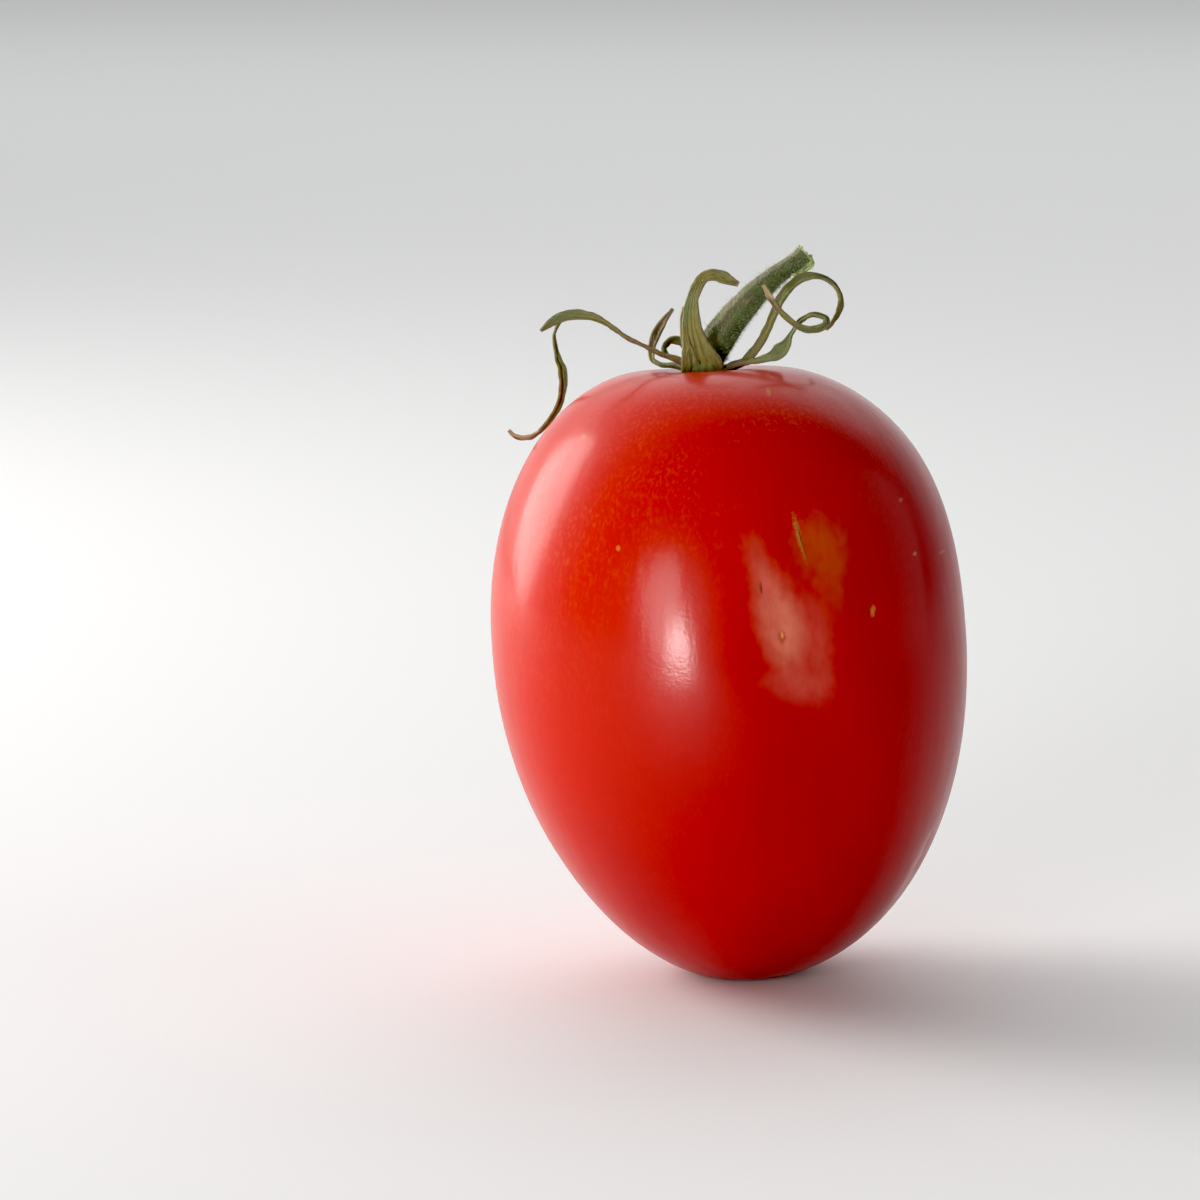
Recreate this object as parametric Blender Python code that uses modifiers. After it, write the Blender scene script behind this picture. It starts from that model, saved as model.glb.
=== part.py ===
# A plum tomato as picked: the red fruit stands on its blossom end, with the dried green calyx in
# the dip of its crown and a short broken stalk rising out of the calyx.
# Metres, +Z up. The origin is the centre of the small flat spot that the fruit rests on, and the
# side with the scarred dent faces -Y.

from math import asin, ceil, cos, exp, hypot, radians, sin

import bmesh
import bpy
from mathutils import Matrix, Vector

MM = 0.001
GAP = 0.3 * MM  # kept between pieces that touch

# The fruit, about its own core line, which runs from the blossom end to the crown
HALF_WIDTH = 24.8 * MM
HALF_DEPTH = 23.7 * MM
ABOVE_WAIST = 30.15 * MM  # from the widest girth up to the crown
BELOW_WAIST = 35.7 * MM  # and down to the blossom end
SHOULDER_POWER = 2.42  # 2 is a plain ellipse, and more is squarer
FOOT_POWER = 1.964
BOW = 1.44 * MM  # the left side swells more than the right
LOBES = 3
LOBE_DEPTH = 0.012
LOBE_TURN = radians(80)
CROWN_ASIDE = -1.7 * MM  # the stalk end sits a little left of the core line
CROWN_TILT = 0.087  # the left shoulder stands higher than the right
DIP_DEPTH = 1.6 * MM
DIP_RADIUS = 6.0 * MM
DENT_DEPTH = 0.45 * MM
DENT_RADIUS = 6.0 * MM
DENT_SPOT = (6.6 * MM, 2.0 * MM)  # right of the core line and above the waist, on the front
LEAN_BACK = radians(4.5)
LEAN_LEFT = radians(5.0)
# The blossom end is drawn left and back, under the fruit's weight, so that it stands by itself
FOOT_LEFT = 1.4 * MM
FOOT_BACK = 1.5 * MM
FLAT_SINK = 0.9 * MM  # how much of the blossom end the flat spot takes off
FRUIT_SEGMENTS = 60
FRUIT_RINGS = 38

# The calyx and the stalk share a frame of their own, in the mouth of the crown's dip
CALYX_LIFT = 29.3 * MM  # above the waist, along the core line
CALYX_LEAN_BACK = radians(9.5)
CUP_RADIUS = 2.3 * MM
CUP_HEIGHT = 1.9 * MM
BLADE_THICKNESS = 0.65 * MM
BLADE_STEP = 0.62 * MM  # between the cross sections of a sepal
CHANNEL = 0.22  # how deep a sepal's channel is, as a share of its width

# Each sepal as stations in mm: right, back, up, width, and how far the blade is turned from
# facing the front, in degrees. The roots lie inside the cup.
SEPALS = {
    "front": [
        (-0.2, -1.2, -0.4, 4.0, 0),
        (-0.5, -2.5, 0.9, 3.8, 0),
        (-0.9, -3.2, 2.4, 2.9, 5),
        (-1.3, -3.7, 4.0, 2.1, 10),
        (-1.5, -4.0, 5.6, 1.4, 15),
        (-1.4, -4.3, 7.0, 1.2, 20),
        (-0.9, -4.6, 8.4, 1.15, 10),
        (-0.2, -4.8, 9.5, 1.1, -5),
        (0.9, -4.9, 9.85, 1.2, -10),
        (2.1, -4.9, 9.4, 1.15, 0),
        (3.6, -4.8, 8.6, 0.35, 0),
    ],
    "front_rolled_edge": [
        (-1.1, -1.4, 0.0, 1.6, 20),
        (-1.9, -2.6, 1.7, 1.3, 30),
        (-2.5, -2.9, 3.2, 1.1, 35),
        (-2.8, -3.0, 4.7, 0.9, 40),
        (-2.4, -2.9, 6.1, 0.35, 45),
    ],
    "left": [
        (-0.8, -0.4, -0.3, 1.6, 40),
        (-2.4, -1.0, 0.4, 1.5, 55),
        (-4.2, -1.6, 1.0, 1.4, 70),
        (-6.1, -2.2, 2.1, 1.4, 75),
        (-8.0, -2.7, 3.3, 1.4, 75),
        (-9.9, -3.2, 4.5, 1.4, 65),
        (-11.7, -3.6, 5.2, 1.4, 45),
        (-13.4, -3.9, 5.3, 1.35, 30),
        (-15.0, -4.2, 4.9, 1.1, 25),
        (-16.2, -4.4, 4.2, 0.8, 20),
        (-17.2, -4.6, 3.5, 0.35, 20),
    ],
    "left_hanging": [
        (-0.6, 0.6, -0.3, 1.6, 60),
        (-2.4, 2.4, 0.5, 1.5, 70),
        (-5.2, 4.1, 1.5, 1.4, 80),
        (-8.4, 5.3, 3.2, 1.3, 85),
        (-11.4, 6.0, 4.6, 1.3, 85),
        (-14.0, 6.4, 5.0, 1.3, 85),
        (-15.7, 6.5, 4.2, 1.2, 80),
        (-16.0, 6.4, 2.9, 1.2, 60),
        (-15.4, 6.3, 1.4, 1.2, 45),
        (-15.0, 6.2, -0.4, 1.15, 40),
        (-15.1, 6.2, -2.2, 1.1, 45),
        (-15.6, 6.3, -4.0, 1.0, 55),
        (-16.5, 6.4, -5.6, 0.9, 60),
        (-17.6, 6.5, -6.9, 0.8, 60),
        (-18.9, 6.5, -7.3, 0.65, 50),
        (-20.0, 6.4, -7.2, 0.45, 40),
        (-20.7, 6.3, -6.7, 0.3, 40),
    ],
    "left_short": [
        (-0.9, 0.3, -0.5, 1.5, 80),
        (-2.9, 1.2, 0.3, 1.3, 80),
        (-4.6, 1.9, 0.5, 1.1, 70),
        (-5.6, 2.3, 1.2, 1.1, 50),
        (-5.6, 2.5, 2.6, 1.1, 30),
        (-5.1, 2.6, 4.0, 1.1, 20),
        (-4.3, 2.6, 5.2, 0.8, 25),
        (-3.2, 2.6, 6.4, 0.3, 30),
    ],
    "back_curled": [
        (-0.4, 0.9, -0.4, 1.8, 80),
        (-1.1, 3.0, 0.5, 1.7, 80),
        (-1.9, 5.0, 1.2, 1.6, 80),
        (-2.8, 6.5, 2.3, 1.5, 70),
        (-3.2, 6.4, 3.4, 1.4, 70),
        (-3.3, 5.2, 3.6, 1.2, 80),
        (-3.5, 4.3, 2.8, 1.0, 90),
        (-3.6, 4.5, 1.9, 0.5, 90),
    ],
    "right_tall": [
        (0.8, 0.3, -0.3, 1.6, 60),
        (2.6, -0.2, 0.2, 1.5, 60),
        (4.2, -0.6, 0.9, 1.4, 55),
        (5.4, -0.7, 2.2, 1.3, 55),
        (6.3, -0.6, 3.7, 1.2, 60),
        (7.0, -0.3, 5.3, 1.2, 60),
        (7.7, 0.1, 6.9, 1.2, 50),
        (8.7, 0.5, 8.4, 1.3, 45),
        (10.2, 1.0, 9.6, 1.3, 50),
        (11.9, 1.6, 9.9, 1.2, 60),
        (13.4, 2.3, 9.3, 1.1, 65),
        (14.4, 2.9, 8.1, 1.1, 65),
        (14.5, 3.3, 6.6, 1.0, 60),
        (13.9, 3.4, 5.3, 0.9, 55),
        (13.0, 3.3, 4.2, 0.4, 50),
    ],
    "right_looped": [
        (0.8, -0.5, -0.4, 1.6, 50),
        (2.5, -1.7, 0.2, 1.4, 55),
        (4.6, -2.7, 0.6, 1.3, 60),
        (6.4, -3.4, 0.9, 1.5, 45),
        (7.9, -3.9, 1.3, 2.0, 20),
        (8.8, -4.0, 2.3, 1.3, 30),
        (9.2, -3.8, 3.6, 0.9, 65),
        (10.0, -3.5, 4.8, 0.9, 65),
        (11.3, -3.3, 5.6, 0.9, 65),
        (12.6, -3.5, 5.2, 0.9, 60),
        (12.6, -3.9, 4.3, 0.9, 50),
        (11.5, -4.4, 3.8, 0.9, 45),
        (10.0, -4.9, 3.9, 0.9, 50),
        (8.7, -5.2, 4.7, 0.9, 55),
        (7.6, -5.4, 5.8, 0.9, 55),
        (6.6, -5.5, 7.1, 0.9, 50),
        (6.0, -5.4, 8.4, 0.35, 50),
    ],
}

# The stalk's centre line in the same frame, in mm: right, back, up and radius
STALK = [
    (0.1, 0.2, -0.1, 1.55),
    (0.4, 0.3, 1.2, 1.6),
    (1.3, 0.8, 2.8, 1.5),
    (2.7, 1.4, 4.7, 1.4),
    (4.2, 2.0, 6.5, 1.28),
    (5.8, 2.5, 8.2, 1.15),
    (7.5, 2.9, 9.7, 1.0),
    (9.1, 3.2, 10.9, 0.88),
    (10.2, 3.4, 11.7, 0.95),
    (10.8, 3.5, 12.2, 1.1),
]
STALK_STEP = 0.8 * MM
STALK_ROUNDNESS = 3  # its section gets ten sides
# The strip of torn skin that hangs from the stalk's broken end, laid out as the sepals are
TORN_SKIN = [
    (8.6, 2.9, 10.2, 0.8, 30),
    (9.7, 3.0, 10.7, 1.5, 20),
    (10.8, 3.0, 11.3, 1.6, 15),
    (11.5, 3.0, 11.5, 0.9, 15),
]

SKIN_RED = (0.62, 0.012, 0.008, 1.0)
CALYX_GREEN = (0.17, 0.20, 0.045, 1.0)
STALK_GREEN = (0.085, 0.14, 0.04, 1.0)


def clear_scene():
    for obj in list(bpy.data.objects):
        bpy.data.objects.remove(obj)


def collection_named(name):
    collection = bpy.data.collections.new(name)
    bpy.context.scene.collection.children.link(collection)
    return collection


def material_named(name, colour, roughness):
    material = bpy.data.materials.new(name)
    material.use_nodes = True
    shader = material.node_tree.nodes["Principled BSDF"]
    shader.inputs["Base Color"].default_value = colour
    shader.inputs["Roughness"].default_value = roughness
    shader.inputs["Metallic"].default_value = 0.0
    return material


def object_from(bm, name, collection):
    """A new object that holds the bmesh's faces, shaded smooth."""
    mesh = bpy.data.meshes.new(name)
    bm.to_mesh(mesh)
    bm.free()
    mesh.shade_smooth()
    obj = bpy.data.objects.new(name, mesh)
    collection.objects.link(obj)
    return obj


def fruit_point(direction):
    """The skin's place for a unit direction from the middle of the waist."""
    latitude = asin(max(-1.0, min(1.0, direction.z)))
    if direction.z > 0:
        reach, power = ABOVE_WAIST, SHOULDER_POWER
    else:
        reach, power = BELOW_WAIST, FOOT_POWER
    ring = max(0.0, cos(latitude)) ** (2 / power)
    height = abs(sin(latitude)) ** (2 / power) * (1 if direction.z > 0 else -1) * reach
    flat = hypot(direction.x, direction.y)
    across = direction.x / flat if flat > 1e-6 else 0.0
    back = direction.y / flat if flat > 1e-6 else 0.0
    # cos of LOBES times the angle round the core, from the cosine and sine of that angle
    turned = complex(across, back) * complex(cos(LOBE_TURN), -sin(LOBE_TURN))
    lobe = (turned ** LOBES).real if flat > 1e-6 else 0.0
    ring *= 1 + LOBE_DEPTH * lobe * (0.5 + 0.5 * sin(latitude))
    bow = BOW * (1 - (height / BELOW_WAIST) ** 2)
    x = HALF_WIDTH * ring * across - bow
    y = HALF_DEPTH * ring * back
    if height < 0:
        drawn = (height / BELOW_WAIST) ** 4
        x -= FOOT_LEFT * drawn
        y += FOOT_BACK * drawn
    if height > 0:
        height -= CROWN_TILT * x * (height / ABOVE_WAIST) ** 3
        from_stalk = hypot(x - CROWN_ASIDE, y)
        height -= DIP_DEPTH * exp(-((from_stalk / DIP_RADIUS) ** 2))
    if y < 0:
        from_dent = hypot(x - DENT_SPOT[0], height - DENT_SPOT[1])
        y += DENT_DEPTH * exp(-((from_dent / DENT_RADIUS) ** 2))
    return Vector((x, y, height))


def make_fruit(collection):
    """The fruit, and the matrix that took it from its own core line to where it stands."""
    bm = bmesh.new()
    bmesh.ops.create_uvsphere(bm, u_segments=FRUIT_SEGMENTS, v_segments=FRUIT_RINGS, radius=1.0)
    for vertex in bm.verts:
        vertex.co = fruit_point(vertex.co.normalized())
    lean = Matrix.Rotation(-LEAN_LEFT, 4, "Y") @ Matrix.Rotation(-LEAN_BACK, 4, "X")
    bmesh.ops.transform(bm, matrix=lean, verts=bm.verts)
    floor = min(vertex.co.z for vertex in bm.verts) + FLAT_SINK
    whole = bm.verts[:] + bm.edges[:] + bm.faces[:]
    cut = bmesh.ops.bisect_plane(
        bm, geom=whole, plane_co=(0, 0, floor), plane_no=(0, 0, -1), clear_outer=True
    )
    rim = [edge for edge in cut["geom_cut"] if isinstance(edge, bmesh.types.BMEdge)]
    corners = [vertex.co for edge in rim for vertex in edge.verts]
    middle = Vector([(min(c[i] for c in corners) + max(c[i] for c in corners)) / 2 for i in range(3)])
    bmesh.ops.contextual_create(bm, geom=rim)
    bmesh.ops.translate(bm, vec=-middle, verts=bm.verts)
    bmesh.ops.recalc_face_normals(bm, faces=bm.faces)
    fruit = object_from(bm, "fruit", collection)
    fruit.data.set_sharp_from_angle(angle=radians(10))
    fruit.data.materials.append(material_named("tomato_skin", SKIN_RED, 0.3))
    return fruit, Matrix.Translation(-middle) @ lean


def calyx_frame(placement):
    """An empty in the mouth of the crown's dip, which carries the calyx and the stalk."""
    frame = bpy.data.objects.new("crown", None)
    bpy.context.scene.collection.objects.link(frame)
    place = placement @ Vector((CROWN_ASIDE, 0, CALYX_LIFT))
    frame.matrix_world = Matrix.Translation(place) @ Matrix.Rotation(-CALYX_LEAN_BACK, 4, "X")
    return frame


def smooth_stations(stations, step):
    """Stations at about one step apart on a smooth curve through the given ones. Their first
    three numbers are a place in mm."""
    padded = [stations[0], *stations, stations[-1]]
    found = []
    for before, start, end, after in zip(padded, padded[1:], padded[2:], padded[3:]):
        length = (Vector(end[:3]) - Vector(start[:3])).length * MM
        pieces = max(1, ceil(length / step))
        for i in range(pieces):
            t = i / pieces
            found.append([
                0.5 * (2 * b + (c - a) * t + (2 * a - 5 * b + 4 * c - d) * t * t
                       + (3 * b - a - 3 * c + d) * t ** 3)
                for a, b, c, d in zip(before, start, end, after)
            ])
    found.append(list(stations[-1]))
    return found


def add_blade(bm, stations):
    """A thin arched blade along the stations: a flat grid, bent into place. Its thickness is
    added later."""
    rows = smooth_stations(stations, BLADE_STEP)
    grid = bmesh.ops.create_grid(bm, x_segments=2, y_segments=len(rows) - 1, size=1.0)["verts"]
    places = [Vector(row[:3]) * MM for row in rows]
    for vertex in grid:
        row = round((vertex.co.y + 1) / 2 * (len(rows) - 1))
        side = vertex.co.x / 2
        ahead = places[min(row + 1, len(rows) - 1)] - places[max(row - 1, 0)]
        along = ahead.normalized()
        upright = along.cross(Vector((0, 1, 0))).normalized()
        inward = upright.cross(along)
        turn = radians(rows[row][4])
        across = upright * cos(turn) + inward * sin(turn)
        hollow = across.cross(along)
        width = rows[row][3] * MM
        vertex.co = places[row] + across * side * width + hollow * CHANNEL * width * (1 - 4 * side * side)
    return grid


def thick_blade(name, stations, frame, collection):
    """One sepal as a closed solid, split into triangles alike on both of its faces."""
    bm = bmesh.new()
    add_blade(bm, stations)
    bmesh.ops.triangulate(bm, faces=bm.faces)
    blade = object_from(bm, name, collection)
    blade.parent = frame
    wall = blade.modifiers.new("thickness", "SOLIDIFY")
    wall.thickness = BLADE_THICKNESS
    wall.offset = 0.0
    return blade


def meshed(obj, collection):
    """The object as a plain mesh in the row frame, with its modifiers applied and its loose
    caps welded. The object itself is removed."""
    bpy.context.view_layer.update()
    graph = bpy.context.evaluated_depsgraph_get()
    mesh = bpy.data.meshes.new_from_object(obj.evaluated_get(graph))
    mesh.transform(obj.matrix_world)
    bm = bmesh.new()
    bm.from_mesh(mesh)
    bmesh.ops.remove_doubles(bm, verts=bm.verts, dist=0.001 * MM)
    bmesh.ops.recalc_face_normals(bm, faces=bm.faces)
    name = obj.name
    bpy.data.objects.remove(obj)
    bpy.data.meshes.remove(mesh)
    return object_from(bm, name, collection)


def grown(obj, margin, collection):
    """A cutter: the object's skin moved out by the margin."""
    bm = bmesh.new()
    bm.from_mesh(obj.data)
    bm.normal_update()
    outward = {vertex: vertex.normal.copy() for vertex in bm.verts}
    for vertex in bm.verts:
        vertex.co += outward[vertex] * margin
    cutter = object_from(bm, obj.name + "_cutter", collection)
    cutter.hide_render = True
    cutter.display_type = "WIRE"
    return cutter


def join(base, helpers):
    """Unites the helpers' objects with the base in one Boolean, and removes them."""
    union = base.modifiers.new("grown_together", "BOOLEAN")
    union.operation = "UNION"
    union.operand_type = "COLLECTION"
    union.collection = helpers
    union.solver = "MANIFOLD"
    joined = meshed(base, base.users_collection[0])
    for obj in list(helpers.objects):
        bpy.data.objects.remove(obj)
    return joined


def cut_clear(obj, cutters):
    for cutter in cutters:
        cut = obj.modifiers.new("clear_of_" + cutter.name, "BOOLEAN")
        cut.operation = "DIFFERENCE"
        cut.object = cutter
        cut.solver = "MANIFOLD"


def make_stalk(frame, collection, helpers):
    """The stalk: a tapering tube along its route, with the torn strip grown out of its end."""
    rows = smooth_stations(STALK, STALK_STEP)
    curve = bpy.data.curves.new("stalk", "CURVE")
    curve.dimensions = "3D"
    curve.bevel_depth = 1.0
    curve.bevel_resolution = STALK_ROUNDNESS
    curve.use_fill_caps = True
    spline = curve.splines.new("POLY")
    spline.points.add(len(rows) - 1)
    for point, row in zip(spline.points, rows):
        point.co = (*(Vector(row[:3]) * MM), 1.0)
        point.radius = row[3] * MM
    stalk = bpy.data.objects.new("stalk", curve)
    collection.objects.link(stalk)
    stalk.parent = frame
    stalk = meshed(stalk, collection)
    meshed(thick_blade("torn_skin", TORN_SKIN, frame, helpers), helpers)
    stalk = join(stalk, helpers)
    stalk.data.materials.clear()
    stalk.data.materials.append(material_named("stalk_skin", STALK_GREEN, 0.8))
    return stalk


def make_calyx(frame, collection, helpers):
    """The calyx: a low cup in the crown's dip, with the sepals grown out of it."""
    bm = bmesh.new()
    bmesh.ops.create_uvsphere(bm, u_segments=20, v_segments=12, radius=1.0)
    bmesh.ops.scale(bm, vec=(CUP_RADIUS, CUP_RADIUS, CUP_HEIGHT), verts=bm.verts)
    calyx = object_from(bm, "calyx", collection)
    calyx.parent = frame
    calyx = meshed(calyx, collection)
    for name, stations in SEPALS.items():
        meshed(thick_blade("sepal_" + name, stations, frame, helpers), helpers)
    calyx = join(calyx, helpers)
    calyx.data.materials.clear()
    calyx.data.materials.append(material_named("calyx_skin", CALYX_GREEN, 0.75))
    return calyx


def main():
    clear_scene()
    tomato = collection_named("tomato")
    helpers = collection_named("pieces_to_join")
    cutters = collection_named("cutters")
    fruit, placement = make_fruit(tomato)
    frame = calyx_frame(placement)
    stalk = make_stalk(frame, tomato, helpers)
    calyx = make_calyx(frame, tomato, helpers)
    cut_clear(calyx, [grown(fruit, GAP, cutters), grown(stalk, GAP, cutters)])


main()
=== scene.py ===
import random
from math import asin, ceil, cos, exp, hypot, pi, radians, sin

import bmesh
import bpy
from mathutils import Matrix, Vector, noise
from mathutils.bvhtree import BVHTree


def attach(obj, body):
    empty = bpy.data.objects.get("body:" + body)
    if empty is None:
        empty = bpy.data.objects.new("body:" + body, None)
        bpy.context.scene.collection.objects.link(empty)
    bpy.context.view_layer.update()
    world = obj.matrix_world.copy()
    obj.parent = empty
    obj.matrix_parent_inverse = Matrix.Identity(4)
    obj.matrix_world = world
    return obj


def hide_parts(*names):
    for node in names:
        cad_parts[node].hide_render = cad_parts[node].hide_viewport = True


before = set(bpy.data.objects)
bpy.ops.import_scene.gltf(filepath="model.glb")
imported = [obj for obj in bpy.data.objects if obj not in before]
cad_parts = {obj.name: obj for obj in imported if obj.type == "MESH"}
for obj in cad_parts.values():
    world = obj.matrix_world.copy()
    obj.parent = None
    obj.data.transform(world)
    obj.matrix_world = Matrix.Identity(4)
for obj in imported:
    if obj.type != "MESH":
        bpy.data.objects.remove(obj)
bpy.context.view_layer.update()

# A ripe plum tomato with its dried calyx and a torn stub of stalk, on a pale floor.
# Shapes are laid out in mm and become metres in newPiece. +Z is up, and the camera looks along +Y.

mm = 0.001
print("frame loaded:", ", ".join(sorted(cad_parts)))


# Shader nodes

def plug(tree, socket, value):
    if isinstance(value, bpy.types.NodeSocket):
        tree.links.new(value, socket)
    elif hasattr(value, "__len__") and len(socket.default_value) == 4:
        socket.default_value = (*value, 1.0)
    else:
        socket.default_value = value


def addNode(tree, kind, sockets=None, **settings):
    made = tree.nodes.new("ShaderNode" + kind)
    for name, value in settings.items():
        setattr(made, name, value)
    for name, value in (sockets or {}).items():
        plug(tree, made.inputs[name], value)
    return made


def calc(tree, operation, *values):
    made = addNode(tree, "Math", operation=operation)
    for socket, value in zip(made.inputs, values):
        plug(tree, socket, value)
    return made.outputs[0]


def vectorCalc(tree, operation, *values):
    made = addNode(tree, "VectorMath", operation=operation)
    for socket, value in zip(made.inputs, values):
        plug(tree, socket, value)
    return made.outputs["Value" if operation == "LENGTH" else "Vector"]


def blendColour(tree, amount, under, over):
    made = addNode(tree, "Mix", data_type="RGBA")
    for index, value in ((0, amount), (6, under), (7, over)):
        plug(tree, made.inputs[index], value)
    return made.outputs[2]


def fade(tree, value, start, end, low=0.0, high=1.0):  # a soft step, which also runs backwards
    made = addNode(tree, "MapRange", interpolation_type="SMOOTHSTEP")
    for index, number in enumerate((value, start, end, low, high)):
        plug(tree, made.inputs[index], number)
    return made.outputs[0]


def grainValue(tree, place, scale, detail=2.0):
    return addNode(tree, "TexNoise", {"Vector": place, "Scale": scale, "Detail": detail}).outputs["Fac"]


def millimetres(tree):
    place = addNode(tree, "TexCoord").outputs["Object"]
    return vectorCalc(tree, "MULTIPLY", place, (1 / mm, 1 / mm, 1 / mm))


def newMaterial(name, colour, fixed):  # fixed holds what is the same all over the surface
    material = bpy.data.materials.new(name)
    material.use_nodes = True
    material.diffuse_color = (*colour, 1.0)
    shader = material.node_tree.nodes["Principled BSDF"]
    plug(material.node_tree, shader.inputs["Base Color"], colour)
    for socket, value in fixed.items():
        plug(material.node_tree, shader.inputs[socket], value)
    return material, material.node_tree, shader


def newGroup(name, takes, gives):
    tree = bpy.data.node_groups.new(name, "ShaderNodeTree")
    for socket, value in takes.items():
        kind = "NodeSocketFloat" if isinstance(value, float) else "NodeSocketVector"
        made = tree.interface.new_socket(name=socket, in_out="INPUT", socket_type=kind)
        made.default_value = value
    tree.interface.new_socket(name=gives, in_out="OUTPUT", socket_type="NodeSocketFloat")
    start = tree.nodes.new("NodeGroupInput").outputs
    return tree, start, tree.nodes.new("NodeGroupOutput").inputs[gives]


def useGroup(tree, group, **sockets):
    made = tree.nodes.new("ShaderNodeGroup")
    made.node_tree = group
    for name, value in sockets.items():
        plug(tree, made.inputs[name], value)
    return made.outputs[0]


def makeDotsGroup():  # small round dots, one in a share of the cells
    tree, start, end = newGroup("dots", {"Place": (0, 0, 0), "Scale": 1.0, "Size": 0.3, "Share": 0.5}, "Mask")
    cells = addNode(tree, "TexVoronoi", {"Vector": start["Place"], "Scale": start["Scale"]})
    chance = addNode(tree, "SeparateColor", {"Color": cells.outputs["Color"]}).outputs
    size = calc(tree, "MULTIPLY", start["Size"], calc(tree, "MULTIPLY_ADD", chance["Green"], 0.7, 0.4))
    dot = fade(tree, cells.outputs["Distance"], size, calc(tree, "MULTIPLY", size, 0.45))
    plug(tree, end, calc(tree, "MULTIPLY", dot, calc(tree, "LESS_THAN", chance["Red"], start["Share"])))
    return tree


def makePatchGroup():  # one spot with a soft, ragged outline
    takes = {"Place": (0, 0, 0), "Wander": 0.0, "Centre": (0, 0, 0), "Reach": (1, 1, 1), "Turn": 0.0,
             "Ragged": 0.5, "Soft": 0.3}
    tree, start, end = newGroup("patch", takes, "Mask")
    turned = addNode(tree, "VectorRotate", {
        "Vector": start["Place"], "Center": start["Centre"], "Angle": start["Turn"],
    }, rotation_type="Y_AXIS").outputs[0]
    offset = vectorCalc(tree, "DIVIDE", vectorCalc(tree, "SUBTRACT", turned, start["Centre"]), start["Reach"])
    away = calc(tree, "MULTIPLY_ADD", start["Wander"], start["Ragged"], vectorCalc(tree, "LENGTH", offset))
    inner, outer = calc(tree, "SUBTRACT", 1.0, start["Soft"]), calc(tree, "ADD", 1.0, start["Soft"])
    plug(tree, end, fade(tree, away, outer, inner))
    return tree


def makeFibreGroup():  # fine lines that run along a blade or a stem
    takes = {"Across": 0.0, "Along": 0.0, "Count": 12.0, "Stretch": 3.0}
    tree, start, end = newGroup("fibre", takes, "Lines")
    place = addNode(tree, "CombineXYZ", {
        "X": calc(tree, "MULTIPLY", start["Across"], start["Count"]),
        "Y": calc(tree, "MULTIPLY", start["Along"], start["Stretch"]),
    }).outputs[0]
    plug(tree, end, fade(tree, grainValue(tree, place, 1.0, 3.0), 0.3, 0.7))
    return tree


dotsGroup, patchGroup, fibreGroup = makeDotsGroup(), makePatchGroup(), makeFibreGroup()


# Mesh helpers

def newPiece(bm, name, material, node):
    bmesh.ops.scale(bm, vec=(mm, mm, mm), verts=bm.verts)
    mesh = bpy.data.meshes.new(name)
    bm.to_mesh(mesh)
    bm.free()
    mesh.shade_smooth()
    mesh.materials.append(material)
    piece = bpy.data.objects.new(name, mesh)
    bpy.context.scene.collection.objects.link(piece)
    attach(piece, "root")
    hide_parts(node)
    return piece


def layeredMesh(*names):  # an empty bmesh whose points can hold those values
    bm = bmesh.new()
    return bm, {name: bm.verts.layers.float.new(name) for name in names}


def smoothRoute(stations, step):  # stations a step apart on a smooth curve through the given ones
    padded = [stations[0], *stations, stations[-1]]
    route = []
    for before, start, end, after in zip(padded, padded[1:], padded[2:], padded[3:]):
        pieces = max(1, ceil((Vector(end[:3]) - Vector(start[:3])).length / step))
        for i in range(pieces):
            t = i / pieces
            route.append([
                0.5 * (2 * b + (c - a) * t + (2 * a - 5 * b + 4 * c - d) * t * t
                       + (3 * b - a - 3 * c + d) * t ** 3)
                for a, b, c, d in zip(before, start, end, after)
            ])
    return route + [list(stations[-1])]


def routeDirection(route, row):
    ahead = Vector(route[min(row + 1, len(route) - 1)][:3])
    return (ahead - Vector(route[max(row - 1, 0)][:3])).normalized()


def grainAt(place, size, seed=0.0):  # smooth noise from -1 to 1, with bumps of about that size in mm
    return noise.noise(Vector(place) / size + Vector((seed, -seed, 2.7 * seed)))


# The fruit

fruit = {
    "halfWidth": 24.8, "halfDepth": 23.7, "aboveWaist": 30.15, "belowWaist": 35.7,
    "shoulderPower": 2.42, "footPower": 1.964, "bow": 1.44,
    "lobes": 3, "lobeDepth": 0.012, "lobeTurn": radians(80),
    "crownAside": -1.7, "crownTilt": 0.087, "dipDepth": 1.6, "dipRadius": 6.0,
    "dentSpot": (6.6, 2.0), "dentDepth": 0.45, "dentRadius": 6.0,
    "footLeft": 1.4, "footBack": 1.5,
    "leanLeft": radians(5), "leanBack": radians(4.5), "place": (-0.379, 0.280, 34.893),
    "floorSoftness": 0.3, "segments": 300, "rings": 200,
    "unevenness": 0.12, "unevennessSize": 9.0, "unevennessSquash": 0.45, "unevennessSeed": 4.1,
}
standing = (Matrix.Translation(fruit["place"]) @ Matrix.Rotation(-fruit["leanLeft"], 4, "Y")
            @ Matrix.Rotation(-fruit["leanBack"], 4, "X"))


def hump(distance, radius):  # 1 in the middle, and almost nothing three radii out
    return exp(-(distance / radius) ** 2)


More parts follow.
